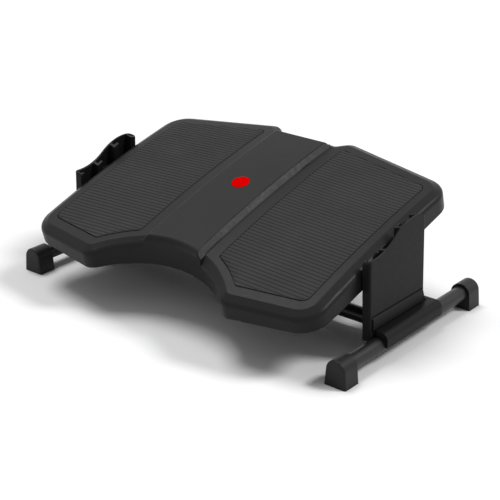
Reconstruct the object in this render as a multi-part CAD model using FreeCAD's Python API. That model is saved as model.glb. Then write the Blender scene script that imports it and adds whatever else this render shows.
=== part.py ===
"""Tilting under desk footrest.

A frame of round steel tube stands on four moulded feet. A moulded bracket sits over each side tube
and has three open-topped channels at rising heights. A pivot shaft crosses under the foot platform,
and a slider on each of its ends stands in one channel, so the platform lifts out and goes back at
another height. The platform tilts on the shaft. A round button in its raised middle strip lowers a
spring-loaded brake yoke away from a collar on the shaft and lets the platform tilt.

Units are millimetres. X runs across the footrest, Y from the user towards the back, and Z up.
The origin lies on the floor, under the middle of the whole footrest.
"""
import FreeCAD
import Part
import math
import os
from FreeCAD import Placement, Rotation, Vector

# Driving sizes of the tube frame
tube_diameter = 20.0
tube_wall = 1.5
tube_centre_height = 20.5
tube_beside_bracket = 9.5
cross_tube_y = 5.5
base_middle_y = 12.7

# Driving sizes of the feet
foot_base_width = 31.0
foot_length = 25.5
foot_spacing_outside = 298.0
foot_end_wall = 5.0
foot_crown_radius = 13.6
foot_edge_radius = 2.4

# Driving sizes of the side brackets
bracket_length = 116.0
bracket_front_y = -57.7
channel_pitch = 32.5
bracket_plate = 3.0
bracket_thickness = 11.5
platform_side_gap = 1.7
bracket_lean_height = 125.0
bracket_outer_lean = 0.036
bracket_inner_lean = 0.04
bracket_corner_radius = 2.4
bracket_foot_height = 25.0
lip_thickness = 2.9
lip_length = 6.0
front_lip_length = 4.0
wave_low_height = 127.5
wave_high_height = 156.5
wave_start_y = -49.0
wave_end_y = 37.5
wave_front_radius = 4.0
wave_crest_radius = 34.0
wave_back_radius = 4.0
wave_cant = 0.25
middle_floor_height = 100.0
floor_step = 14.0
floor_thickness = 3.0
plinth_top_height = 54.5
plinth_bottom_height = 37.5
plinth_proud = 2.2
plinth_groove_height = 2.0
plinth_groove_depth = 1.2
plinth_end_margin = 4.0
saddle_outside_tube = 13.1
saddle_inside_tube = 16.0
saddle_top_height = 37.5
saddle_bottom_height = 19.5
saddle_radius = 9.0
saddle_front_y = -48.9
saddle_back_y = 71.1
saddle_heel_radius = 10.0

# Driving sizes of the pivot
rest_tilt = 15.3
shaft_diameter = 12.0
slider_side_clearance = 0.3
slider_below_shaft = 13.0
slider_above_shaft = 7.2
slider_corner_radius = 2.0
collar_diameter = 17.0
collar_length = 22.0
roll_pin_diameter = 2.5
roll_pin_length = 13.5
set_screw_diameter = 4.0
screw_inset = 0.5

# Driving sizes of the platform, in its own frame: origin on the shaft axis, Z square to the top
crown_radius = 1880.0
crown_peak_y = 22.8
crown_height = 29.1
wing_cant = 2.93
skirt_bottom = -14.0
shoulder_run = 12.2
shoulder_drop = 5.5
shoulder_edge_radius = 7.0
skirt_wall = 3.0
top_wall = 5.0
platform_half_width = 219.6
front_corner_y = -136.7
front_slant = 0.165
back_corner_y = 140.3
back_slant = 0.172
back_inner_x = 65.0
notch_half_width = 50.0
notch_depth = 14.8
outer_corner_radius = 23.0
back_inner_radius = 5.0
notch_radius = 14.0
bay_centre_y = -261.8
bay_radius = 157.0
tip_radius = 8.0
rim_edge_radius = 3.0

# Driving sizes of the raised middle strip
strip_rise = 5.5
strip_half_width = 41.0
strip_flank = 7.5
strip_edge_radius = 2.5
strip_foot_radius = 6.0
strip_back_y = 155.0
strip_back_level = 15.0
strip_back_flare = 0.42
nose_edge_radius = 8.0

# Driving sizes of the mats
mat_rise = 0.8
mat_depth = 2.2
mat_gap = 1.2
mat_inner_x = 66.0
mat_side_margin = 12.0
mat_front_margin = 12.6
mat_back_margin = 11.5
mat_bay_margin = 11.1
mat_corner_radius = 5.0
mat_outer_corner_radius = 11.0

# Driving sizes of the ribs, hubs and bushes under the platform
rib_thickness = 2.6
rib_bottom = 4.0
cross_rib_y = 72.0
shaft_rib_gap = 2.0
shaft_rib_start_x = 26.0
hub_inset = 33.6
hub_length = 20.0
hub_diameter = 24.0
bush_wall = 2.5
bush_flange = 2.0
bush_flange_lip = 2.0
bush_set_back = 0.5

# Driving sizes of the tilt button and brake
button_y = 19.5
button_diameter = 24.0
button_thickness = 3.5
button_edge_radius = 0.6
button_proud = 0.4
button_travel = 2.5
button_stem_diameter = 8.0
well_wall = 3.0
well_shelf_height = 18.5
well_shelf_thickness = 3.0
spring_coil_diameter = 15.0
spring_wire = 1.2
spring_turns = 4.0
yoke_plate = 2.0
yoke_top_height = 14.6
yoke_depth = 16.0
yoke_leg_gap = 1.5
pad_thickness = 2.0
yoke_screw_diameter = 3.0
yoke_screw_head = 5.6
yoke_screw_head_height = 1.6
yoke_screw_reach = 8.0
pad_inset = 1.0

# Driving sizes of the screws that hold the brackets to the tubes
bracket_screw_spacing = 84.0
bracket_screw_diameter = 4.0
bracket_screw_head = 8.0
bracket_screw_head_height = 2.5
bracket_screw_bite = 6.0
driver_hole_diameter = 10.0

# Clearances
running_fit = 0.05
press_gap = 0.02
bush_gap = 0.15
loose_gap = 0.3
hole_gap = 0.6
brake_gap = 0.1
seat_gap = 0.05

# Sizes worked out from the driving sizes
skirt_half_width = platform_half_width + shoulder_run
bracket_inner_x = skirt_half_width + platform_side_gap
bracket_outer_x = bracket_inner_x + bracket_thickness
channel_outer_x = bracket_outer_x - bracket_plate
channel_inner_x = bracket_inner_x + lip_thickness
tube_radius = tube_diameter / 2
tube_x = bracket_outer_x + tube_beside_bracket
saddle_outer_x = tube_x + saddle_outside_tube
saddle_inner_x = tube_x - saddle_inside_tube
hub_start_x = platform_half_width - hub_inset
foot_end_y = foot_spacing_outside / 2
tube_end_y = foot_end_y - foot_end_wall
bracket_back_y = bracket_front_y + bracket_length
channel_front_y = bracket_front_y + channel_pitch + bracket_plate
channel_back_y = bracket_front_y + 2 * channel_pitch
pivot_y = (channel_front_y + channel_back_y) / 2
shaft_radius = shaft_diameter / 2
pivot_z = middle_floor_height + seat_gap + slider_below_shaft
slider_inner_x = channel_inner_x + slider_side_clearance
slider_outer_x = channel_outer_x - slider_side_clearance
collar_radius = collar_diameter / 2
strip_peak = crown_height + strip_rise
cut_margin = 1.0
cover_height = 20.0
above_top = strip_peak + cover_height
crown_depth = 40.0
crown_margin = 30.0
arch_half_turn = 8.0
yoke_half_width = collar_length / 2 + yoke_leg_gap + yoke_plate
pad_top = -collar_radius - brake_gap
yoke_bottom = pad_top - pad_thickness - yoke_plate

shapes = {}


def box(low, high):
    """A box between two corners."""
    size = [high[i] - low[i] for i in range(3)]
    return Part.makeBox(size[0], size[1], size[2], Vector(*low))


def rod(start, end, radius):
    """A round bar between two points."""
    line = Vector(*end) - Vector(*start)
    return Part.makeCylinder(radius, line.Length, Vector(*start), line)


def fuse_all(solids):
    """All the solids as one, without the seams."""
    joined = solids[0].multiFuse(solids[1:])
    return joined.removeSplitter()


def prism_x(outline, start_x, end_x):
    """A prism along X from an outline given as Y and Z pairs."""
    points = [Vector(start_x, y, z) for y, z in outline]
    face = Part.Face(Part.makePolygon(points + points[:1]))
    return face.extrude(Vector(end_x - start_x, 0, 0))


def prism_y(outline, start_y, end_y):
    """A prism along Y from an outline given as X and Z pairs."""
    points = [Vector(x, start_y, z) for x, z in outline]
    face = Part.Face(Part.makePolygon(points + points[:1]))
    return face.extrude(Vector(0, end_y - start_y, 0))


def mirrored(shape):
    """The same shape on the other side of the middle plane."""
    return shape.mirror(Vector(0, 0, 0), Vector(1, 0, 0))


def moved_to_rest(shape):
    """A platform piece, modelled flat about the shaft, set at its rest tilt on the shaft."""
    placed = shape.copy()
    placed.Placement = Placement(Vector(0, pivot_y, pivot_z), Rotation(Vector(1, 0, 0), rest_tilt))
    return placed


def raised_on_shaft(shape):
    """A piece modelled about the shaft axis, set on the shaft without the tilt."""
    placed = shape.copy()
    placed.Placement = Placement(Vector(0, pivot_y, pivot_z), Rotation())
    return placed


def fillet_where(shape, radius, wanted):
    """Round the edges that the test picks."""
    edges = [edge for edge in shape.Edges if wanted(edge)]
    return shape.makeFillet(radius, edges)


def offset_corners(points, distance):
    """The corners of a counter-clockwise outline, each side moved outwards by the distance."""
    moved = []
    count = len(points)
    for i in range(count):
        before = Vector(*points[i - 1], 0)
        here = Vector(*points[i], 0)
        after = Vector(*points[(i + 1) % count], 0)
        first = (here - before).normalize()
        second = (after - here).normalize()
        first_out = Vector(first.y, -first.x, 0)
        second_out = Vector(second.y, -second.x, 0)
        bisector = first_out + second_out
        scale = distance / bisector.dot(first_out)
        corner = here + bisector * scale
        moved.append((corner.x, corner.y))
    return moved


def rounded_wire(points, radii):
    """A closed flat outline, with an arc at each corner that has a radius."""
    edges = []
    ends = []
    count = len(points)
    for i in range(count):
        here = points[i]
        if radii[i] == 0:
            ends.append((here, here))
            continue
        back = (points[i - 1] - here).normalize()
        ahead = (points[(i + 1) % count] - here).normalize()
        half_angle = back.getAngle(ahead) / 2
        reach = radii[i] / math.tan(half_angle)
        middle = here + (back + ahead).normalize() * (radii[i] / math.sin(half_angle) - radii[i])
        ends.append((here + back * reach, here + ahead * reach))
        edges.append(Part.Arc(ends[i][0], middle, ends[i][1]).toShape())
    for i in range(count):
        edges.append(Part.makeLine(ends[i][1], ends[(i + 1) % count][0]))
    return Part.Wire(Part.__sortEdges__(edges))


def at_level(outline, level):
    """Points at one height from X and Y pairs."""
    return [Vector(x, y, level) for x, y in outline]


def make_base_tube():
    """The right side tube, with its screw holes and the holes for the driver below them."""
    front_y = base_middle_y - tube_end_y
    back_y = base_middle_y + tube_end_y
    tube = rod((tube_x, front_y, tube_centre_height), (tube_x, back_y, tube_centre_height), tube_radius)
    inside = rod((tube_x, front_y - cut_margin, tube_centre_height),
                 (tube_x, back_y + cut_margin, tube_centre_height), tube_radius - tube_wall)
    tube = tube.cut(inside)
    for y in bracket_screw_places():
        top = (tube_x, y, tube_centre_height + tube_diameter)
        middle = (tube_x, y, tube_centre_height)
        bottom = (tube_x, y, tube_centre_height - tube_diameter)
        tube = tube.cut(rod(middle, top, bracket_screw_diameter / 2 + hole_gap / 2))
        tube = tube.cut(rod(bottom, middle, driver_hole_diameter / 2))
    return tube


def bracket_screw_places():
    """The Y of the screws in one bracket."""
    middle = (saddle_front_y + saddle_back_y) / 2
    return [middle - bracket_screw_spacing / 2, middle + bracket_screw_spacing / 2]


def make_cross_tube():
    """The tube between the side tubes, its ends coped to their round sides."""
    left = (-tube_x, cross_tube_y, tube_centre_height)
    right = (tube_x, cross_tube_y, tube_centre_height)
    tube = rod(left, right, tube_radius).cut(rod(left, right, tube_radius - tube_wall))
    for x in (-tube_x, tube_x):
        side_tube = rod((x, cross_tube_y - tube_diameter, tube_centre_height),
                        (x, cross_tube_y + tube_diameter, tube_centre_height), tube_radius)
        tube = tube.cut(side_tube)
    return tube


def make_foot(front):
    """One foot on the right side tube, its closed end towards the front or the back."""
    half_base = foot_base_width / 2
    crown = foot_crown_radius
    rise = tube_centre_height
    distance = math.hypot(half_base, rise)
    tangent_angle = math.atan2(-rise, half_base) + math.acos(crown / distance)
    side_x = crown * math.cos(tangent_angle)
    side_z = rise + crown * math.sin(tangent_angle)
    start_y = foot_end_y - foot_length
    corners = [Vector(tube_x - half_base, start_y, 0), Vector(tube_x + half_base, start_y, 0),
               Vector(tube_x + side_x, start_y, side_z), Vector(tube_x, start_y, rise + crown),
               Vector(tube_x - side_x, start_y, side_z)]
    edges = [Part.makeLine(corners[0], corners[1]), Part.makeLine(corners[1], corners[2]),
             Part.Arc(corners[2], corners[3], corners[4]).toShape(), Part.makeLine(corners[4], corners[0])]
    foot = Part.Face(Part.Wire(edges)).extrude(Vector(0, foot_length, 0))

    def on_end(edge):
        return abs(edge.CenterOfMass.y - foot_end_y) < 0.01 and edge.CenterOfMass.z > foot_edge_radius

    foot = fillet_where(foot, foot_edge_radius, on_end)
    socket = rod((tube_x, start_y - cut_margin, rise), (tube_x, tube_end_y + seat_gap, rise),
                 tube_radius + running_fit)
    foot = foot.cut(socket)
    if front:
        foot = foot.mirror(Vector(0, 0, 0), Vector(0, 1, 0))
    foot.translate(Vector(0, base_middle_y, 0))
    return foot


def under_the_wave():
    """The space under the bracket's wave-shaped top, which falls towards the platform."""
    rise = wave_high_height - wave_low_height
    run = wave_end_y - wave_start_y
    radius = (run * run + rise * rise) / (4 * rise)
    half_turn = math.atan2(rise, run)
    low = Vector(0, wave_start_y, wave_low_height)
    high = Vector(0, wave_end_y, wave_high_height)
    middle = (low + high) / 2
    low_mid = low + Vector(0, math.sin(half_turn), 1 - math.cos(half_turn)) * radius
    high_mid = high + Vector(0, -math.sin(half_turn), math.cos(half_turn) - 1) * radius
    crest_turn = math.asin((bracket_back_y - wave_end_y) / wave_crest_radius)
    crest_end = high + Vector(0, math.sin(crest_turn), math.cos(crest_turn) - 1) * wave_crest_radius
    crest_mid = high + Vector(0, math.sin(crest_turn / 2), math.cos(crest_turn / 2) - 1) * wave_crest_radius
    front_top = Vector(0, bracket_front_y, wave_low_height)
    front_bottom = Vector(0, bracket_front_y, 0)
    back_bottom = Vector(0, bracket_back_y, 0)
    edges = [Part.makeLine(front_top, low),
             Part.Arc(low, low_mid, middle).toShape(),
             Part.Arc(middle, high_mid, high).toShape(),
             Part.Arc(high, crest_mid, crest_end).toShape(),
             Part.makeLine(crest_end, back_bottom),
             Part.makeLine(back_bottom, front_bottom),
             Part.makeLine(front_bottom, front_top)]
    face = Part.Face(Part.Wire(edges))
    face.translate(Vector(saddle_outer_x, 0, (saddle_outer_x - bracket_outer_x) * wave_cant))
    reach = saddle_outer_x - bracket_inner_x + bracket_plate
    space = face.extrude(Vector(-reach, 0, -reach * wave_cant))

    def across(edge):
        return abs(edge.tangentAt(edge.FirstParameter).x) > 0.9

    def front_corner(edge):
        middle = edge.CenterOfMass
        return across(edge) and abs(middle.y - bracket_front_y) < 0.01 and middle.z > bracket_foot_height

    def back_corner(edge):
        middle = edge.CenterOfMass
        return across(edge) and abs(middle.y - bracket_back_y) < 0.01 and middle.z > bracket_foot_height

    space = fillet_where(space, wave_front_radius, front_corner)
    return fillet_where(space, wave_back_radius, back_corner)


def outer_x_at(height):
    """The outer face of the bracket's wall at a height."""
    return bracket_outer_x + (bracket_lean_height - height) * bracket_outer_lean


def inner_x_at(height):
    """The inner edge of the bracket's plates at a height."""
    return bracket_inner_x + (bracket_lean_height - height) * bracket_inner_lean


def make_bracket():
    """The right side bracket: wall, four plates, lips, channel floors, plinth and tube saddle."""
    bottom = bracket_foot_height
    top = wave_high_height + bracket_plate
    wall = prism_y([(channel_outer_x, bottom), (outer_x_at(bottom), bottom), (outer_x_at(top), top),
                    (channel_outer_x, top)], bracket_front_y, bracket_back_y)
    pieces = [wall]
    plate_outline = [(inner_x_at(bottom), bottom), (outer_x_at(bottom), bottom),
                     (outer_x_at(top), top), (inner_x_at(top), top)]
    lip_bottom = middle_floor_height - floor_step - floor_thickness
    lip_outline = [(inner_x_at(lip_bottom), lip_bottom), (channel_inner_x, lip_bottom),
                   (channel_inner_x, top), (inner_x_at(top), top)]
    for index in range(4):
        plate_y = bracket_front_y + index * channel_pitch
        lip_y = plate_y + bracket_plate
        lip = front_lip_length if index == 0 else lip_length
        pieces.append(prism_y(plate_outline, plate_y, lip_y))
        pieces.append(prism_y(lip_outline, lip_y, lip_y + lip))
    for index in range(3):
        plate_y = bracket_front_y + index * channel_pitch
        floor = middle_floor_height + (index - 1) * floor_step
        under = floor - floor_thickness
        floor_outline = [(inner_x_at(under), under), (channel_outer_x, under), (channel_outer_x, floor),
                         (inner_x_at(floor), floor)]
        pieces.append(prism_y(floor_outline, plate_y, plate_y + channel_pitch + bracket_plate))
    bracket = fuse_all(pieces)
    bracket = bracket.common(under_the_wave()).common(upright_envelope())
    bracket = fuse_all([bracket, make_saddle(), make_plinth(), make_heel()])
    for level in (saddle_top_height, plinth_top_height):
        bracket = bracket.cut(make_plinth_groove(level))
    tube_space = rod((tube_x, bracket_front_y - cut_margin, tube_centre_height),
                     (tube_x, saddle_back_y + cut_margin, tube_centre_height), tube_radius + running_fit)
    cross_space = rod((bracket_inner_x, cross_tube_y, tube_centre_height),
                      (tube_x, cross_tube_y, tube_centre_height), tube_radius + loose_gap)
    bracket = bracket.cut(tube_space).cut(cross_space)
    for y in bracket_screw_places():
        pilot = rod((tube_x, y, tube_centre_height),
                    (tube_x, y, tube_centre_height + tube_radius + bracket_screw_bite + seat_gap),
                    bracket_screw_diameter / 2 + press_gap)
        bracket = bracket.cut(pilot)
    return bracket


def upright_envelope():
    """The leaning outside of the bracket's uprights, with rounded corners at its front and back."""
    radius = bracket_corner_radius
    wires = []
    for level in (bracket_foot_height, wave_high_height + bracket_plate):
        back_x = inner_x_at(level) - cut_margin
        corners = [(back_x, bracket_front_y), (outer_x_at(level), bracket_front_y),
                   (outer_x_at(level), bracket_back_y), (back_x, bracket_back_y)]
        wires.append(rounded_wire(at_level(corners, level), [0, radius, radius, 0]))
    return Part.makeLoft(wires, True, True)


def make_saddle():
    """The inverted trough that sits over the side tube."""
    low = saddle_bottom_height
    top = saddle_top_height
    radius = saddle_radius
    turn = math.sin(math.pi / 4)
    centre = Vector(saddle_outer_x - radius, saddle_front_y, top - radius)
    points = [Vector(saddle_inner_x, saddle_front_y, low), Vector(saddle_outer_x, saddle_front_y, low),
              Vector(saddle_outer_x, saddle_front_y, top - radius),
              centre + Vector(turn, 0, turn) * radius,
              Vector(saddle_outer_x - radius, saddle_front_y, top),
              Vector(saddle_inner_x, saddle_front_y, top)]
    edges = [Part.makeLine(points[0], points[1]), Part.makeLine(points[1], points[2]),
             Part.Arc(points[2], points[3], points[4]).toShape(),
             Part.makeLine(points[4], points[5]), Part.makeLine(points[5], points[0])]
    return Part.Face(Part.Wire(edges)).extrude(Vector(0, saddle_back_y - saddle_front_y, 0))


def make_plinth():
    """The thicker band of the wall just above the saddle."""
    low = plinth_bottom_height
    high = plinth_top_height
    outline = [(channel_outer_x, low), (outer_x_at(low) + plinth_proud, low),
               (outer_x_at(high) + plinth_proud, high - plinth_proud), (outer_x_at(high), high),
               (channel_outer_x, high)]
    return prism_y(outline, bracket_front_y + plinth_end_margin, bracket_back_y - plinth_end_margin)


def make_plinth_groove(low):
    """A shadow groove along the plinth, its lower side at a height."""
    high = low + plinth_groove_height
    depth = plinth_groove_depth
    outline = [(outer_x_at(low) - depth, low), (outer_x_at(low) + plinth_proud + cut_margin, low),
               (outer_x_at(high) + plinth_proud + cut_margin, high), (outer_x_at(high) - depth, high)]
    return prism_y(outline, bracket_front_y + plinth_end_margin, bracket_back_y - plinth_end_margin)


def make_heel():
    """The hollow fillet between the bracket's back edge and the saddle's top."""
    radius = saddle_heel_radius
    block = box((channel_outer_x, bracket_back_y - cut_margin, saddle_top_height - cut_margin),
                (outer_x_at(saddle_top_height), bracket_back_y + radius, saddle_top_height + radius))
    round_cut = rod((channel_outer_x - cut_margin, bracket_back_y + radius, saddle_top_height + radius),
                    (saddle_outer_x, bracket_back_y + radius, saddle_top_height + radius), radius)
    return block.cut(round_cut)


def make_bracket_screws(side):
    """The two screws of one bracket, heads inside the tube and threads in the saddle."""
    inner_radius = tube_radius - tube_wall
    head_radius = bracket_screw_head / 2
    sag = math.sqrt(inner_radius * inner_radius - head_radius * head_radius)
    head_top = tube_centre_height + sag - seat_gap
    thread_end = tube_centre_height + tube_radius + bracket_screw_bite
    screws = []
    for y in bracket_screw_places():
        head = rod((side * tube_x, y, head_top - bracket_screw_head_height), (side * tube_x, y, head_top),
                   head_radius)
        thread = rod((side * tube_x, y, head_top - cut_margin), (side * tube_x, y, thread_end),
                     bracket_screw_diameter / 2)
        screws.append(fuse_all([head, thread]))
    return screws


def make_shaft():
    """The fixed pivot shaft, with the cross holes of the roll pins and of the collar's screw."""
    end_x = slider_outer_x
    shaft = rod((-end_x, 0, 0), (end_x, 0, 0), shaft_radius)
    for side in (-1, 1):
        shaft = shaft.cut(roll_pin(side, press_gap))
    return shaft.cut(set_screw(press_gap))


def slider_middle_x():
    """The middle of a slider's thickness."""
    return (slider_inner_x + slider_outer_x) / 2


def roll_pin(side, extra):
    """One roll pin, down through the slider and the shaft's end."""
    x = side * slider_middle_x()
    top = slider_above_shaft - screw_inset
    return rod((x, 0, top - roll_pin_length), (x, 0, top), roll_pin_diameter / 2 + extra)


def set_screw(extra):
    """The screw that holds the collar, from its front side into the shaft."""
    return rod((0, -collar_radius + screw_inset, 0), (0, -shaft_radius / 2, 0), set_screw_diameter / 2 + extra)


def make_slider(side):
    """The block on the shaft's end that stands in a bracket channel."""
    front = channel_front_y + loose_gap - pivot_y
    back = channel_back_y - loose_gap - pivot_y
    low = -slider_below_shaft
    high = slider_above_shaft
    block = box((slider_inner_x, front, low), (slider_outer_x, back, high))

    def upright_ends(edge):
        tangent = edge.tangentAt(edge.FirstParameter)
        return abs(tangent.x) > 0.9

    block = fillet_where(block, slider_corner_radius, upright_ends)
    bore = rod((slider_inner_x - cut_margin, 0, 0), (slider_outer_x + cut_margin, 0, 0),
               shaft_radius + press_gap)
    block = block.cut(bore)
    if side < 0:
        block = mirrored(block)
    return block.cut(roll_pin(side, press_gap))


def make_collar():
    """The smooth collar that the brake pad bears on."""
    half = collar_length / 2
    collar = rod((-half, 0, 0), (half, 0, 0), collar_radius)
    collar = collar.cut(rod((-half - cut_margin, 0, 0), (half + cut_margin, 0, 0), shaft_radius + press_gap))
    return collar.cut(set_screw(press_gap)).cut(rod((0, -collar_diameter, 0), (0, -shaft_radius, 0),
                                                    set_screw_diameter / 2 + press_gap))


def swept_crown(outline, radii):
    """A section across the platform, swept along the arch that the top follows from front to back."""
    face = Part.Face(rounded_wire([Vector(x, crown_peak_y, z) for x, z in outline], radii))
    arch_centre = Vector(0, crown_peak_y, crown_height - crown_radius)
    face.rotate(arch_centre, Vector(1, 0, 0), -arch_half_turn)
    return face.revolve(arch_centre, Vector(1, 0, 0), 2 * arch_half_turn)


def wing_top(x):
    """The height of the canted wing's top, at the crown, so far from the middle plane."""
    return crown_height - math.tan(math.radians(wing_cant)) * abs(x)


def wing_crown(half_width, drop):
    """The space under the two canted wings, lowered by a drop."""
    low = skirt_bottom - crown_depth
    edge = wing_top(half_width) - drop
    outline = [(-half_width, low), (half_width, low), (half_width, edge), (0, crown_height - drop),
               (-half_width, edge)]
    return swept_crown(outline, [0] * len(outline))


def strip_crown(half_width, drop):
    """The space under the raised middle strip, lowered by a drop."""
    low = skirt_bottom - crown_depth
    foot = half_width + strip_flank
    top = strip_peak - drop
    foot_top = wing_top(foot) - drop
    outline = [(-foot, low), (foot, low), (foot, foot_top), (half_width, top), (-half_width, top),
               (-foot, foot_top)]
    return swept_crown(outline, [0] * len(outline))


def strip_foot(side):
    """The hollow fillet between one flank of the raised strip and the wing beside it."""
    low = skirt_bottom + top_wall
    foot = strip_half_width + strip_flank
    start = (strip_half_width + foot) / 2
    start_top = (strip_peak + wing_top(foot)) / 2
    end = foot + strip_foot_radius
    outline = [(start, start_top), (foot, wing_top(foot)), (end, wing_top(end) - seat_gap), (end, low),
               (start, low)]
    outline = [(side * x, z) for x, z in outline]
    return swept_crown(outline, [0, strip_foot_radius, 0, 0, 0])


def rim_corners():
    """The plan of the platform's flat top, counter-clockwise, without the bay in its front."""
    front_middle = front_corner_y - front_slant * platform_half_width
    back_inner = back_corner_y + back_slant * (platform_half_width - back_inner_x)
    right = [(platform_half_width, front_corner_y), (platform_half_width, back_corner_y),
             (back_inner_x, back_inner), (notch_half_width, back_inner - notch_depth)]
    left = [(-x, y) for x, y in reversed(right)]
    return [(0, front_middle)] + right + left


def rim_radii(outward):
    """The corner radii of the plan, moved outwards by a distance."""
    outer = outer_corner_radius + outward
    right = [outer, outer, back_inner_radius + outward, notch_radius - outward]
    return [0] + right + right[::-1]


def upright_plan(outward, low):
    """The plan of the top, moved outwards by a distance, as an upright body with its bay and round tips."""
    corners = at_level(offset_corners(rim_corners(), outward), low)
    plan = Part.Face(rounded_wire(corners, rim_radii(outward))).extrude(Vector(0, 0, above_top - low))
    radius = bay_radius - outward
    plan = plan.cut(bay_space(radius))

    def tip(edge):
        middle = edge.CenterOfMass
        upright = abs(edge.tangentAt(edge.FirstParameter).z) > 0.5
        return upright and abs(math.hypot(middle.x, middle.y - bay_centre_y) - radius) < 0.01

    return fillet_where(plan, tip_radius + outward, tip)


def bay_space(radius):
    """The round bay in the platform's front, as a solid to cut."""
    low = skirt_bottom - crown_depth
    return rod((0, bay_centre_y, low), (0, bay_centre_y, above_top + cut_margin), radius)


def wing_part(inset, drop):
    """The outside of the two wings, or the hollow under them when it is inset and dropped."""
    low = skirt_bottom if inset == 0 else skirt_bottom - crown_margin
    reach = platform_half_width + crown_margin
    skirt = upright_plan(shoulder_run - inset, low).common(wing_crown(reach, drop + shoulder_drop))
    top = upright_plan(-inset, low).common(wing_crown(reach, drop))
    faces = [face for face in skirt.Faces if not is_top(face)] + [face for face in top.Faces if is_top(face)]
    rim = top_outline_edges(top)
    for edge in top_outline_edges(skirt):
        nearest = min(rim, key=lambda other: (other.CenterOfMass - edge.CenterOfMass).Length)
        faces.append(Part.makeRuledSurface(edge, nearest))
    shell = Part.Shell(faces)
    shell.sewShape(0.01)
    wings = Part.Solid(shell)
    if wings.Volume < 0:
        wings.reverse()
    if inset > 0:
        return wings
    wings = wings.makeFillet(shoulder_edge_radius, edges_along(wings, top_outline_edges(skirt)))
    return wings.makeFillet(rim_edge_radius, edges_along(wings, rim))


def edges_along(solid, outline):
    """The edges of a solid that lie on an outline."""
    def on_outline(edge):
        return any((edge.CenterOfMass - other.CenterOfMass).Length < 0.05 for other in outline)

    return [edge for edge in solid.Edges if on_outline(edge)]


def strip_part(inset, drop):
    """The outside of the raised strip, or the hollow under it when it is inset and dropped."""
    low = skirt_bottom if inset == 0 else skirt_bottom - crown_margin
    low_back = strip_back_y - inset + (strip_back_level - low) * strip_back_flare
    high_back = strip_back_y - inset + (strip_back_level - above_top) * strip_back_flare
    reach = strip_half_width + strip_flank
    side = prism_x([(bay_centre_y, low), (low_back, low), (high_back, above_top), (bay_centre_y, above_top)],
                   -reach, reach)
    strip = side.common(strip_crown(strip_half_width - inset, drop))
    return strip.cut(bay_space(bay_radius - shoulder_run + inset))


def platform_outside():
    """The whole outside of the platform, with its top edges rounded and the strip's feet filled."""
    nose_radius = bay_radius - shoulder_run
    foot = strip_half_width + strip_flank
    rim = wing_top(foot) - shoulder_drop

    def high(edge):
        middle = edge.CenterOfMass
        return middle.z > rim and abs(middle.x) < foot - strip_flank / 3 and edge.Length > strip_flank + strip_rise

    def on_nose(edge):
        middle = edge.valueAt(edge.FirstParameter)
        return high(edge) and abs(math.hypot(middle.x, middle.y - bay_centre_y) - nose_radius) < 0.01 \
            and abs(edge.CenterOfMass.x) < 1

    strip = strip_part(0, 0)
    strip = fillet_where(strip, nose_edge_radius, on_nose)
    strip = fillet_where(strip, strip_edge_radius, high)
    space = upright_plan(0, skirt_bottom)
    feet = [space.common(strip_foot(side)) for side in (-1, 1)]
    return fuse_all([wing_part(0, 0), strip] + feet)


def is_top(face):
    """Whether a face is part of the top."""
    middle = face.CenterOfMass
    normal = face.normalAt(*face.Surface.parameter(middle))
    return abs(normal.z) > 0.9 and middle.z > 0


def top_outline_edges(solid):
    """The edges where the top faces meet the upright sides."""
    picked = []
    for edge in solid.Edges:
        faces = solid.ancestorsOfType(edge, Part.Face)
        if len(faces) == 2 and is_top(faces[0]) != is_top(faces[1]):
            picked.append(edge)
    return picked


def make_shell_body():
    """The moulded platform: top, skirt, raised strip, ribs, hubs, mat recesses and button well."""
    outside = platform_outside()
    shell = outside.cut(wing_part(skirt_wall, top_wall)).cut(strip_part(skirt_wall, top_wall))
    additions = [part.common(outside) for part in make_ribs() + [make_well()]]
    shell = shell.multiFuse(additions)
    for side in (-1, 1):
        shell = shell.cut(hub_bore(side))
        shell = shell.cut(mat_body(side, mat_gap, cover_height, mat_depth))
    well_hole = rod((0, button_y, well_shelf_height + well_shelf_thickness), (0, button_y, above_top),
                    button_diameter / 2 + loose_gap)
    stem_hole = rod((0, button_y, 0), (0, button_y, above_top), button_stem_diameter / 2 + loose_gap)
    return shell.cut(well_hole).cut(stem_hole)


def make_ribs():
    """The cross ribs, and the two hubs with the rib over the shaft, before they are trimmed to the shell."""
    half = rib_thickness / 2
    reach = platform_half_width + crown_margin
    hub_radius = hub_diameter / 2
    ribs = []
    for y in (-cross_rib_y, cross_rib_y):
        ribs.append(box((-reach, y - half, rib_bottom), (reach, y + half, above_top)))
    for side in (-1, 1):
        start = side * hub_start_x
        end = side * (hub_start_x + hub_length)
        rib_start = side * shaft_rib_start_x
        ribs.append(rod((start, 0, 0), (end, 0, 0), hub_radius))
        ribs.append(box((min(start, end), -hub_radius, 0), (max(start, end), hub_radius, above_top)))
        ribs.append(box((min(rib_start, end), -half, shaft_radius + shaft_rib_gap),
                        (max(rib_start, end), half, above_top)))
    return ribs


def hub_bore(side):
    """The bore for one bush, the space for its flange and the hole where the shaft leaves the skirt."""
    start = side * (hub_start_x - cut_margin)
    hub_end = side * (hub_start_x + hub_length + cut_margin)
    outside = side * (platform_half_width + crown_margin)
    bush_seat = rod((start, 0, 0), (hub_end, 0, 0), shaft_radius + running_fit + bush_wall + bush_gap)
    shaft_exit = rod((hub_end, 0, 0), (outside, 0, 0), shaft_radius + hole_gap)
    flange_start = side * (hub_start_x - seat_gap - bush_flange - loose_gap)
    flange_space = rod((flange_start, 0, 0), (side * hub_start_x, 0, 0),
                       shaft_radius + running_fit + bush_wall + bush_flange_lip + loose_gap)
    return bush_seat.multiFuse([shaft_exit, flange_space])


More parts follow.
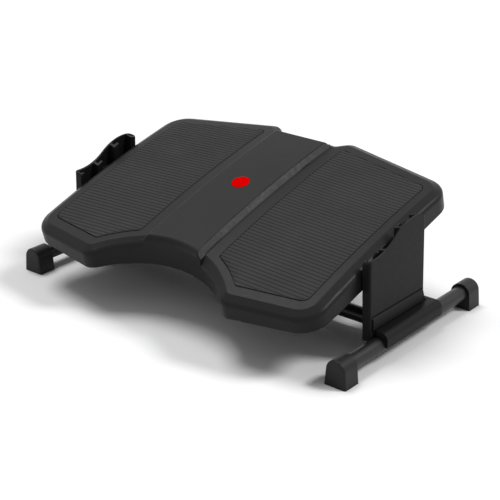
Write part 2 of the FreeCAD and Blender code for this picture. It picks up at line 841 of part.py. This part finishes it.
def make_bush(side):
    """The flanged bush that turns on the shaft inside one hub."""
    start = side * (hub_start_x - seat_gap)
    end = side * (hub_start_x + hub_length - bush_set_back)
    flange_start = side * (hub_start_x - seat_gap - bush_flange)
    radius = shaft_radius + running_fit + bush_wall
    bush = rod((start, 0, 0), (end, 0, 0), radius)
    flange = rod((flange_start, 0, 0), (start, 0, 0), radius + bush_flange_lip)
    bush = fuse_all([bush, flange])
    return bush.cut(rod((flange_start - side, 0, 0), (end + side, 0, 0), shaft_radius + running_fit))


def make_well():
    """The round well under the button, with the shelf that its spring stands on."""
    radius = button_diameter / 2 + loose_gap + well_wall
    return rod((0, button_y, well_shelf_height), (0, button_y, above_top), radius)


def mat_corners(outward):
    """The plan of the right mat, counter-clockwise, without the bay in its front."""
    side_x = platform_half_width - mat_side_margin
    front_y = front_corner_y + mat_front_margin
    back_y = back_corner_y - mat_back_margin
    width = side_x - mat_inner_x
    corners = [(mat_inner_x, front_y - front_slant * width), (side_x, front_y), (side_x, back_y),
               (mat_inner_x, back_y + back_slant * width)]
    return offset_corners(corners, outward)


def mat_body(side, outward, rise, depth):
    """One mat, or the space for it: between the recess floor and a rise above the platform's top."""
    radius = mat_corner_radius + outward
    outer = mat_outer_corner_radius + outward
    low = rounded_wire(at_level(mat_corners(outward), skirt_bottom), [radius, outer, outer, radius])
    plan = Part.Face(low).extrude(Vector(0, 0, above_top - skirt_bottom))
    bay = rod((0, bay_centre_y, skirt_bottom), (0, bay_centre_y, above_top),
              bay_radius + mat_bay_margin - outward)
    plan = plan.cut(bay)

    def tip(edge):
        middle = edge.CenterOfMass
        upright = abs(edge.tangentAt(edge.FirstParameter).z) > 0.9
        on_bay = abs(math.hypot(middle.x, middle.y - bay_centre_y) - bay_radius - mat_bay_margin + outward)
        return upright and on_bay < 0.01

    plan = fillet_where(plan, radius, tip)
    reach = platform_half_width + crown_margin
    mat = plan.common(wing_crown(reach, -rise)).cut(wing_crown(reach, depth))
    if side < 0:
        mat = mirrored(mat)
    return mat


def make_button():
    """The round tilt button with its stem."""
    top = strip_peak + button_proud
    cap = rod((0, button_y, top - button_thickness), (0, button_y, top), button_diameter / 2)
    cap = fillet_where(cap, button_edge_radius, lambda edge: edge.CenterOfMass.z > top - 0.01 and len(edge.Vertexes) == 1)
    stem = rod((0, button_y, yoke_top_height + seat_gap), (0, button_y, top - button_thickness),
               button_stem_diameter / 2)
    button = fuse_all([cap, stem])
    return button.cut(yoke_screw_hole())


def yoke_screw_hole():
    """The hole for the screw that joins the yoke to the button's stem."""
    return rod((0, button_y, yoke_bottom), (0, button_y, yoke_top_height + yoke_screw_reach + screw_inset),
               yoke_screw_diameter / 2 + press_gap)


def make_yoke_screw():
    """The screw up through the yoke's top plate into the stem."""
    head_top = yoke_top_height - yoke_plate - seat_gap
    head = rod((0, button_y, head_top - yoke_screw_head_height), (0, button_y, head_top), yoke_screw_head / 2)
    thread = rod((0, button_y, head_top - cut_margin), (0, button_y, yoke_top_height + yoke_screw_reach),
                 yoke_screw_diameter / 2)
    return fuse_all([head, thread])


def make_yoke():
    """The strap round the collar: top plate, two slotted legs and the plate under the brake pad."""
    half = yoke_depth / 2
    top = yoke_top_height
    bottom = yoke_bottom
    outside = yoke_half_width
    plate = box((-outside, -half, top - yoke_plate), (outside, button_y + half, top))
    base = box((-outside, -half, bottom), (outside, half, bottom + yoke_plate))
    pieces = [plate, base]
    for side in (-1, 1):
        low_x = min(side * outside, side * (outside - yoke_plate))
        pieces.append(box((low_x, -half, bottom), (low_x + yoke_plate, half, top)))
    yoke = fuse_all(pieces)
    slot_radius = shaft_radius + hole_gap
    for height in (0, button_travel):
        yoke = yoke.cut(rod((-outside - cut_margin, 0, height), (outside + cut_margin, 0, height), slot_radius))
    yoke = yoke.cut(box((-outside - cut_margin, -slot_radius, 0),
                        (outside + cut_margin, slot_radius, button_travel)))
    return yoke.cut(yoke_screw_hole())


def make_pad():
    """The friction pad that the yoke holds up against the collar."""
    half = yoke_depth / 2 - pad_inset
    reach = collar_length / 2
    return box((-reach, -half, pad_top - pad_thickness), (reach, half, pad_top))


def make_spring():
    """The coil spring between the well's shelf and the button."""
    low = well_shelf_height + well_shelf_thickness + seat_gap
    high = strip_peak + button_proud - button_thickness - seat_gap
    radius = (spring_coil_diameter - spring_wire) / 2
    wire_radius = spring_wire / 2
    pitch = (high - low - spring_wire) / spring_turns
    start = low + wire_radius
    path = []
    for quarter in range(int(spring_turns * 4)):
        ends = []
        for part in (0, 0.5, 1):
            turn = (quarter + part) * math.pi / 2
            ends.append(Vector(radius * math.cos(turn), button_y + radius * math.sin(turn),
                               start + (quarter + part) * pitch / 4))
        path.append(Part.Arc(ends[0], ends[1], ends[2]).toShape())
    tangent = path[0].tangentAt(path[0].FirstParameter)
    section = Part.Wire(Part.makeCircle(wire_radius, path[0].valueAt(path[0].FirstParameter), tangent))
    return Part.Wire(path).makePipeShell([section], True, False)


def save(name, solids):
    """Write one sub-part to its own file."""
    shape = solids[0] if len(solids) == 1 else Part.makeCompound(solids)
    shapes[name] = shape
    shape.exportStep("parts/" + name + ".step")


def save_pair(name, right):
    """Write a right-hand sub-part and its mirror image."""
    save(name + "_right", [right])
    save(name + "_left", [mirrored(right)])


def main():
    """Make every sub-part."""
    os.makedirs("parts", exist_ok=True)
    save_pair("base_tube", make_base_tube())
    save("cross_tube", [make_cross_tube()])
    save_pair("foot_front", make_foot(True))
    save_pair("foot_back", make_foot(False))
    save_pair("side_bracket", make_bracket())
    save("bracket_screws", make_bracket_screws(-1) + make_bracket_screws(1))

    save("pivot_shaft", [raised_on_shaft(make_shaft())])
    save("slider_left", [raised_on_shaft(make_slider(-1))])
    save("slider_right", [raised_on_shaft(make_slider(1))])
    save("slider_pins", [raised_on_shaft(roll_pin(side, 0)) for side in (-1, 1)])
    save("brake_collar", [raised_on_shaft(make_collar())])
    save("collar_screw", [raised_on_shaft(set_screw(0))])

    save("platform_shell", [moved_to_rest(make_shell_body())])
    save("mat_left", [moved_to_rest(mat_body(-1, 0, mat_rise, mat_depth - seat_gap))])
    save("mat_right", [moved_to_rest(mat_body(1, 0, mat_rise, mat_depth - seat_gap))])
    save("pivot_bush_left", [moved_to_rest(make_bush(-1))])
    save("pivot_bush_right", [moved_to_rest(make_bush(1))])

    save("tilt_button", [moved_to_rest(make_button())])
    save("button_spring", [moved_to_rest(make_spring())])
    save("brake_yoke", [moved_to_rest(make_yoke())])
    save("brake_pad", [moved_to_rest(make_pad())])
    save("yoke_screw", [moved_to_rest(make_yoke_screw())])


main()
for node, made in shapes.items():
    bounds = made.BoundBox
    print(node, len(made.Solids), made.isValid(), round(made.Volume), "mm3",
          [round(v, 1) for v in (bounds.XMin, bounds.XMax, bounds.YMin, bounds.YMax, bounds.ZMin, bounds.ZMax)])
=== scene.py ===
import math

import bmesh
import bpy
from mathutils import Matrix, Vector


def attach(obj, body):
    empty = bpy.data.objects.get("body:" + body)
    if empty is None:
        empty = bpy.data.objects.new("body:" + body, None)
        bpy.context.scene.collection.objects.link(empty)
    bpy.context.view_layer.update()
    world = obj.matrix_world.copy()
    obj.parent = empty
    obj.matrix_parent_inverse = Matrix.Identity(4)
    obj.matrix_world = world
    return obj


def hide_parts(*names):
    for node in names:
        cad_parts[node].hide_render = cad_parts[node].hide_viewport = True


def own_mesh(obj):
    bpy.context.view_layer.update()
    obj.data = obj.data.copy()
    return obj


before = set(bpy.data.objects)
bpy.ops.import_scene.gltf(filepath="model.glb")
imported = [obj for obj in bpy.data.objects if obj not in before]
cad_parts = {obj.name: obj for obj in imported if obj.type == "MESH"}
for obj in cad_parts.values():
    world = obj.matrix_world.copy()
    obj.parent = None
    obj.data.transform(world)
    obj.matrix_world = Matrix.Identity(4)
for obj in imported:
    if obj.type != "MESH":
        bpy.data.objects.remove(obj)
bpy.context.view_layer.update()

# The platform's own frame, in millimetres: x across, u along the top, w above the shaft
PIVOT = (-7.45, 113.05)
REST_TILT = math.radians(15.3)
CROWN_RADIUS = 1880.0
CROWN_HEIGHT = 29.1
CROWN_PEAK_U = 22.8
WING_CANT = math.tan(math.radians(2.93))

# The mats
MAT_INNER_X = 66.0
MAT_OUTER_X = 207.6
MAT_FRONT_U = -124.1
MAT_FRONT_SLANT = 0.165
MAT_BACK_U = 128.8
MAT_BACK_SLANT = 0.172
MAT_CORNER = 5.0
MAT_OUTER_CORNER = 11.0
BAY_U = -261.8
MAT_BAY_RADIUS = 168.1
MAT_RISE = 0.8
MAT_DEPTH = 2.2
RIB_PITCH = 5.6
GROOVE_DEPTH = 0.75
# Where each corner of one rib's section is, as a share of the pitch, and how deep it lies there.
RIB_SECTION = [(0.0, 1.0), (0.13, 1.0), (0.21, 0.72), (0.27, 0.18), (0.33, 0.02), (0.42, 0.0), (0.78, 0.0),
               (0.87, 0.02), (0.93, 0.18), (0.985, 0.72)]
# How far a rib's ends are rounded, the points across its top and the least way of a row from the mat's ends.
RIB_END_LIP = 0.35
RIB_SPANS = 8
ROW_MARGIN = 0.15
# Points of each rounded corner and of the mat's side along the bay.
CORNER_STEPS = 10
BAY_STEPS = 40


def wing_height(x, u, rise):
    """The height above the shaft of the canted, arched wing top, or so far above it."""
    arch = CROWN_RADIUS - WING_CANT * abs(x) + rise
    return CROWN_HEIGHT - CROWN_RADIUS + math.sqrt(arch * arch - (u - CROWN_PEAK_U) ** 2)


def at_rest(x, u, w):
    """A point of the platform's own frame, placed at the rest tilt, in metres."""
    y = PIVOT[0] + u * math.cos(REST_TILT) - w * math.sin(REST_TILT)
    z = PIVOT[1] + u * math.sin(REST_TILT) + w * math.cos(REST_TILT)
    return Vector((x, y, z)) / 1000


def arc(centre, radius, start, end, steps):
    """Points along an arc, the short way round."""
    turn = (end - start + math.pi) % (2 * math.pi) - math.pi
    return [(centre[0] + radius * math.cos(start + turn * i / steps),
             centre[1] + radius * math.sin(start + turn * i / steps)) for i in range(steps + 1)]


def corner_arc(before, here, after, radius):
    """Points that round one convex corner between two straight sides."""
    a = Vector(before) - Vector(here)
    b = Vector(after) - Vector(here)
    half = a.angle(b) / 2
    centre = Vector(here) + (a.normalized() + b.normalized()).normalized() * (radius / math.sin(half))
    reach = radius / math.tan(half)
    first = Vector(here) + a.normalized() * reach - centre
    last = Vector(here) + b.normalized() * reach - centre
    return arc(centre, radius, math.atan2(first.y, first.x), math.atan2(last.y, last.x), CORNER_STEPS)


def mat_outline():
    """The right mat's outline seen from above, counter-clockwise, with rounded corners and the round bay."""
    width = MAT_OUTER_X - MAT_INNER_X
    r = MAT_CORNER
    inner_front = (MAT_INNER_X, MAT_FRONT_U - MAT_FRONT_SLANT * width)
    outer_front = (MAT_OUTER_X, MAT_FRONT_U)
    outer_back = (MAT_OUTER_X, MAT_BACK_U)
    inner_back = (MAT_INNER_X, MAT_BACK_U + MAT_BACK_SLANT * width)
    # The tip between the bay and the front side: its arc's centre is r inside both.
    lean = math.atan(MAT_FRONT_SLANT)
    low, high = MAT_INNER_X, MAT_OUTER_X
    for _ in range(60):
        x = (low + high) / 2
        u = MAT_FRONT_U - MAT_FRONT_SLANT * (MAT_OUTER_X - x) + r / math.cos(lean)
        if math.hypot(x, u - BAY_U) < MAT_BAY_RADIUS + r:
            low = x
        else:
            high = x
    front_tip = (x, u)
    to_bay = math.atan2(BAY_U - u, -x)
    points = arc(front_tip, r, to_bay, lean - math.pi / 2, CORNER_STEPS)
    points += corner_arc(inner_front, outer_front, outer_back, MAT_OUTER_CORNER)
    points += corner_arc(outer_front, outer_back, inner_back, MAT_OUTER_CORNER)
    points += corner_arc(outer_back, inner_back, inner_front, r)
    # The tip between the inner side and the bay.
    x = MAT_INNER_X + r
    u = BAY_U + math.sqrt((MAT_BAY_RADIUS + r) ** 2 - x * x)
    points += arc((x, u), r, math.pi, math.atan2(BAY_U - u, -x), CORNER_STEPS)
    # Along the bay to the front tip.
    start = math.atan2(u - BAY_U, x)
    end = math.atan2(front_tip[1] - BAY_U, front_tip[0])
    points += arc((0, BAY_U), MAT_BAY_RADIUS, start, end, BAY_STEPS)[1:-1]
    return points


def span_at(outline, u):
    """Where a line across the mat at u enters and leaves its outline."""
    cuts = []
    for i, (x1, u1) in enumerate(outline):
        x2, u2 = outline[(i + 1) % len(outline)]
        if (u1 <= u) != (u2 <= u):
            cuts.append(x1 + (x2 - x1) * (u - u1) / (u2 - u1))
    return min(cuts), max(cuts)


def make_mat(side):
    """One ribbed rubber mat. The ribs run from side to side and end open at the mat's edge."""
    outline = mat_outline()
    lowest = min(u for _, u in outline)
    highest = max(u for _, u in outline)
    rows = []
    first = math.floor(lowest / RIB_PITCH) - 1
    for i in range(first, math.ceil(highest / RIB_PITCH) + 1):
        rows += [((i + share) * RIB_PITCH, deep) for share, deep in RIB_SECTION]
    rows = [(u, deep) for u, deep in rows if lowest + ROW_MARGIN < u < highest - ROW_MARGIN]
    mesh = bpy.data.meshes.new("mat")
    bm = bmesh.new()
    rings = []
    for u, deep in rows:
        x_in, x_out = span_at(outline, u)
        lip = min(RIB_END_LIP, (x_out - x_in) / 4)
        top = x_out - x_in - 2 * lip
        bevel = lip * 0.3
        rise = MAT_RISE - deep * GROOVE_DEPTH
        ring = [(x_in, -MAT_DEPTH), (x_in, rise - lip), (x_in + bevel, rise - bevel), (x_in + lip, rise)]
        ring += [(x_in + lip + top * k / RIB_SPANS, rise) for k in range(1, RIB_SPANS)]
        ring += [(x_out - lip, rise), (x_out - bevel, rise - bevel), (x_out, rise - lip), (x_out, -MAT_DEPTH)]
        rings.append([bm.verts.new(at_rest(side * x, u, wing_height(x, u, up))) for x, up in ring])
    for near, far in zip(rings, rings[1:]):
        for k in range(len(near)):
            after = (k + 1) % len(near)
            bm.faces.new([near[k], near[after], far[after], far[k]])
    bm.faces.new(rings[0])
    bm.faces.new(rings[-1])
    bmesh.ops.recalc_face_normals(bm, faces=bm.faces)
    bm.to_mesh(mesh)
    bm.free()
    for polygon in mesh.polygons:
        polygon.use_smooth = True
    mesh.set_sharp_from_angle(angle=math.radians(50))
    name = "ribbed_mat_right" if side > 0 else "ribbed_mat_left"
    mat = bpy.data.objects.new(name, mesh)
    bpy.context.scene.collection.objects.link(mat)
    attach(mat, "platform")
    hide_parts("mat_right" if side > 0 else "mat_left")
    return mat


# Materials
def new_material(name):
    """A material with its node tree and its shader."""
    made = bpy.data.materials.new(name)
    made.use_nodes = True
    tree = made.node_tree
    shader = next(n for n in tree.nodes if n.type == "BSDF_PRINCIPLED")
    return made, tree, shader


def noise(tree, scale, detail=3.0, roughness=0.55, stretch=None):
    """A noise texture in the object's own coordinates. Scale counts features per metre."""
    coordinates = tree.nodes.new("ShaderNodeTexCoord")
    source = coordinates.outputs["Object"]
    if stretch:
        mapping = tree.nodes.new("ShaderNodeMapping")
        mapping.inputs["Scale"].default_value = stretch
        tree.links.new(source, mapping.inputs["Vector"])
        source = mapping.outputs["Vector"]
    texture = tree.nodes.new("ShaderNodeTexNoise")
    texture.inputs["Scale"].default_value = scale
    texture.inputs["Detail"].default_value = detail
    texture.inputs["Roughness"].default_value = roughness
    tree.links.new(source, texture.inputs["Vector"])
    return texture.outputs["Fac"]


def ramp(tree, factor, low, high, start=0.3, end=0.7):
    """Maps a noise to a range of numbers."""
    node = tree.nodes.new("ShaderNodeMapRange")
    node.inputs["From Min"].default_value = start
    node.inputs["From Max"].default_value = end
    node.inputs["To Min"].default_value = low
    node.inputs["To Max"].default_value = high
    tree.links.new(factor, node.inputs["Value"])
    return node.outputs["Result"]


def tinted(tree, factor, dark, light):
    """Mixes two colours by a noise."""
    node = tree.nodes.new("ShaderNodeMix")
    node.data_type = "RGBA"
    node.inputs["A"].default_value = (*dark, 1)
    node.inputs["B"].default_value = (*light, 1)
    tree.links.new(factor, node.inputs["Factor"])
    return node.outputs["Result"]


def bumped(tree, shader, layers):
    """Stacks bumps on the shader. Each layer is a height, a strength and a depth in metres."""
    normal = None
    for height, strength, distance in layers:
        node = tree.nodes.new("ShaderNodeBump")
        node.inputs["Strength"].default_value = strength
        node.inputs["Distance"].default_value = distance
        tree.links.new(height, node.inputs["Height"])
        if normal:
            tree.links.new(normal, node.inputs["Normal"])
        normal = node.outputs["Normal"]
    tree.links.new(normal, shader.inputs["Normal"])


def plastic(name, grey, rough, grain, specular):
    """Charcoal moulded plastic with a fine spark-eroded grain."""
    made, tree, shader = new_material(name)
    fine = noise(tree, grain, 2.0)
    broad = noise(tree, 9.0, 3.0)
    light = (grey * 1.06, grey * 1.06, grey * 1.07)
    colour = tinted(tree, ramp(tree, broad, 0.0, 1.0), (grey * 0.93,) * 3, light)
    tree.links.new(colour, shader.inputs["Base Color"])
    tree.links.new(ramp(tree, noise(tree, 160.0), rough - 0.04, rough + 0.05), shader.inputs["Roughness"])
    shader.inputs["Specular IOR Level"].default_value = specular
    bumped(tree, shader, [(fine, 0.35, 0.00012), (noise(tree, 60.0), 0.12, 0.0004)])
    return made


def rubber(name, grey):
    """Matte mat rubber, a little dusty, with a fine tooth."""
    made, tree, shader = new_material(name)
    broad = noise(tree, 14.0, 4.0)
    colour = tinted(tree, ramp(tree, broad, 0.0, 1.0), (grey * 0.92,) * 3, (grey * 1.07,) * 3)
    tree.links.new(colour, shader.inputs["Base Color"])
    tree.links.new(ramp(tree, noise(tree, 240.0), 0.72, 0.86), shader.inputs["Roughness"])
    shader.inputs["Specular IOR Level"].default_value = 0.06
    bumped(tree, shader, [(noise(tree, 1400.0, 2.0), 0.4, 0.0001)])
    return made


def coated(name, grey, rough, specular):
    """Black powder-coated steel with a faint orange peel."""
    made, tree, shader = new_material(name)
    colour = tinted(tree, ramp(tree, noise(tree, 20.0), 0.0, 1.0), (grey * 0.9,) * 3, (grey * 1.1,) * 3)
    tree.links.new(colour, shader.inputs["Base Color"])
    tree.links.new(ramp(tree, noise(tree, 120.0), rough - 0.04, rough + 0.06), shader.inputs["Roughness"])
    shader.inputs["Specular IOR Level"].default_value = specular
    bumped(tree, shader, [(noise(tree, 450.0, 2.0), 0.3, 0.00015)])
    return made


def bright_steel(name):
    """Turned steel with fine brushing across its length."""
    made, tree, shader = new_material(name)
    lines = noise(tree, 400.0, 3.0, 0.6, (6.0, 1.0, 1.0))
    colour = tinted(tree, ramp(tree, lines, 0.0, 1.0), (0.33, 0.33, 0.34), (0.50, 0.50, 0.51))
    tree.links.new(colour, shader.inputs["Base Color"])
    shader.inputs["Metallic"].default_value = 1.0
    tree.links.new(ramp(tree, lines, 0.26, 0.42), shader.inputs["Roughness"])
    bumped(tree, shader, [(lines, 0.2, 0.0001)])
    return made


def red_plastic(name):
    """Saturated red plastic, satin."""
    made, tree, shader = new_material(name)
    colour = tinted(tree, ramp(tree, noise(tree, 60.0), 0.0, 1.0), (0.70, 0.0, 0.0), (0.76, 0.0, 0.0))
    tree.links.new(colour, shader.inputs["Base Color"])
    tree.links.new(ramp(tree, noise(tree, 300.0), 0.42, 0.52), shader.inputs["Roughness"])
    shader.inputs["Specular IOR Level"].default_value = 0.0
    bumped(tree, shader, [(noise(tree, 1500.0, 2.0), 0.2, 0.00008)])
    return made


def lining(name):
    """Woven brake lining: dark brown grey with pale fibres."""
    made, tree, shader = new_material(name)
    speckle = noise(tree, 900.0, 4.0, 0.7)
    factor = ramp(tree, speckle, 0.0, 1.0, 0.45, 0.75)
    colour = tinted(tree, factor, (0.035, 0.030, 0.026), (0.16, 0.14, 0.11))
    tree.links.new(colour, shader.inputs["Base Color"])
    shader.inputs["Roughness"].default_value = 0.9
    bumped(tree, shader, [(speckle, 0.5, 0.0003)])
    return made


shell_plastic = plastic("shell_plastic", 0.014, 0.36, 1500.0, 0.11)
bracket_plastic = plastic("bracket_plastic", 0.010, 0.40, 1500.0, 0.09)
foot_plastic = plastic("foot_plastic", 0.011, 0.40, 900.0, 0.2)
inner_plastic = plastic("inner_plastic", 0.014, 0.5, 1500.0, 0.12)
mat_material = rubber("ribbed_rubber", 0.052)
tube_material = coated("black_powder_coat", 0.011, 0.34, 0.3)
steel_material = bright_steel("turned_steel")
red_material = red_plastic("red_button_plastic")
lining_material = lining("brake_lining")

finishes = {
    "base_tube_left": tube_material, "base_tube_right": tube_material, "cross_tube": tube_material,
    "foot_front_left": foot_plastic, "foot_front_right": foot_plastic,
    "foot_back_left": foot_plastic, "foot_back_right": foot_plastic,
    "side_bracket_left": bracket_plastic, "side_bracket_right": bracket_plastic,
    "bracket_screws": steel_material, "pivot_shaft": steel_material,
    "slider_left": inner_plastic, "slider_right": inner_plastic, "slider_pins": steel_material,
    "brake_collar": steel_material, "collar_screw": steel_material,
    "platform_shell": shell_plastic, "pivot_bush_left": inner_plastic, "pivot_bush_right": inner_plastic,
    "tilt_button": red_material, "button_spring": steel_material, "brake_yoke": steel_material,
    "brake_pad": lining_material, "yoke_screw": steel_material,
}
for node_name, finish in finishes.items():
    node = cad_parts[node_name]
    node.data.materials.clear()
    node.data.materials.append(finish)

for side in (-1, 1):
    mat = make_mat(side)
    mat.data.materials.append(mat_material)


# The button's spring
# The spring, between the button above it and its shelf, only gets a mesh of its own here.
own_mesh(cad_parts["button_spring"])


# Floor, light and camera
FLOOR_REACH = 30.0
FLOOR_GREY = 0.80
WORLD_LIGHT = 0.26
WHITE = (1.0, 1.0, 1.0, 1)


def seen_directly(tree):
    """1 for what the camera sees, directly or in a reflection or through glass."""
    path = tree.nodes.new("ShaderNodeLightPath")
    first = tree.nodes.new("ShaderNodeMath")
    first.operation = "MAXIMUM"
    tree.links.new(path.outputs["Is Camera Ray"], first.inputs[0])
    tree.links.new(path.outputs["Is Glossy Ray"], first.inputs[1])
    second = tree.nodes.new("ShaderNodeMath")
    second.operation = "MAXIMUM"
    tree.links.new(first.outputs[0], second.inputs[0])
    tree.links.new(path.outputs["Is Transmission Ray"], second.inputs[1])
    return second.outputs[0]


def make_floor():
    """A wide pale floor, white where it is seen directly, that keeps the object's shadow."""
    mesh = bpy.data.meshes.new("floor")
    reach = FLOOR_REACH
    mesh.from_pydata([(-reach, -reach, 0), (reach, -reach, 0), (reach, reach, 0), (-reach, reach, 0)], [],
                     [(0, 1, 2, 3)])
    floor = bpy.data.objects.new("floor", mesh)
    bpy.context.scene.collection.objects.link(floor)
    made = bpy.data.materials.new("pale_floor")
    made.use_nodes = True
    tree = made.node_tree
    tree.nodes.clear()
    out = tree.nodes.new("ShaderNodeOutputMaterial")
    diffuse = tree.nodes.new("ShaderNodeBsdfDiffuse")
    colour = tree.nodes.new("ShaderNodeMix")
    colour.data_type = "RGBA"
    colour.inputs["A"].default_value = (FLOOR_GREY, FLOOR_GREY, FLOOR_GREY, 1)
    colour.inputs["B"].default_value = WHITE
    tree.links.new(seen_directly(tree), colour.inputs["Factor"])
    tree.links.new(colour.outputs["Result"], diffuse.inputs["Color"])
    tree.links.new(diffuse.outputs[0], out.inputs["Surface"])
    mesh.materials.append(made)


def make_world():
    """A white world that lights the object softly."""
    world = bpy.data.worlds.new("studio")
    bpy.context.scene.world = world
    world.use_nodes = True
    tree = world.node_tree
    tree.nodes.clear()
    out = tree.nodes.new("ShaderNodeOutputWorld")
    background = tree.nodes.new("ShaderNodeBackground")
    strength = tree.nodes.new("ShaderNodeMapRange")
    strength.inputs["To Min"].default_value = WORLD_LIGHT
    strength.inputs["To Max"].default_value = 1.0
    tree.links.new(seen_directly(tree), strength.inputs["Value"])
    background.inputs["Color"].default_value = WHITE
    tree.links.new(strength.outputs["Result"], background.inputs["Strength"])
    tree.links.new(background.outputs[0], out.inputs["Surface"])


def make_sun(name, strength, angle, elevation, azimuth):
    """A broad soft lamp. Azimuth is where the light comes from, in degrees from +X towards +Y."""
    lamp = bpy.data.lights.new(name, "SUN")
    lamp.energy = strength
    lamp.angle = math.radians(angle)
    sun = bpy.data.objects.new(name, lamp)
    e, a = math.radians(elevation), math.radians(azimuth)
    towards = Vector((math.cos(a) * math.cos(e), math.sin(a) * math.cos(e), math.sin(e)))
    sun.rotation_mode = "QUATERNION"
    sun.rotation_quaternion = towards.to_track_quat("Z", "Y")
    bpy.context.scene.collection.objects.link(sun)


make_floor()
make_world()
make_sun("overhead", 1.5, 28.0, 69.0, 172.0)
make_sun("right_back", 1.5, 16.0, 48.0, 37.0)

camera_data = bpy.data.cameras.new("camera")
camera_data.lens = 95.36
camera_data.sensor_width = 36.0
camera = bpy.data.objects.new("camera", camera_data)
camera.location = (1.0251, -1.2243, 0.7414)
camera.rotation_euler = (math.radians(66.803), 0.0, math.radians(39.453))
bpy.context.scene.collection.objects.link(camera)
bpy.context.scene.camera = camera
bpy.context.scene.view_settings.view_transform = "Standard"
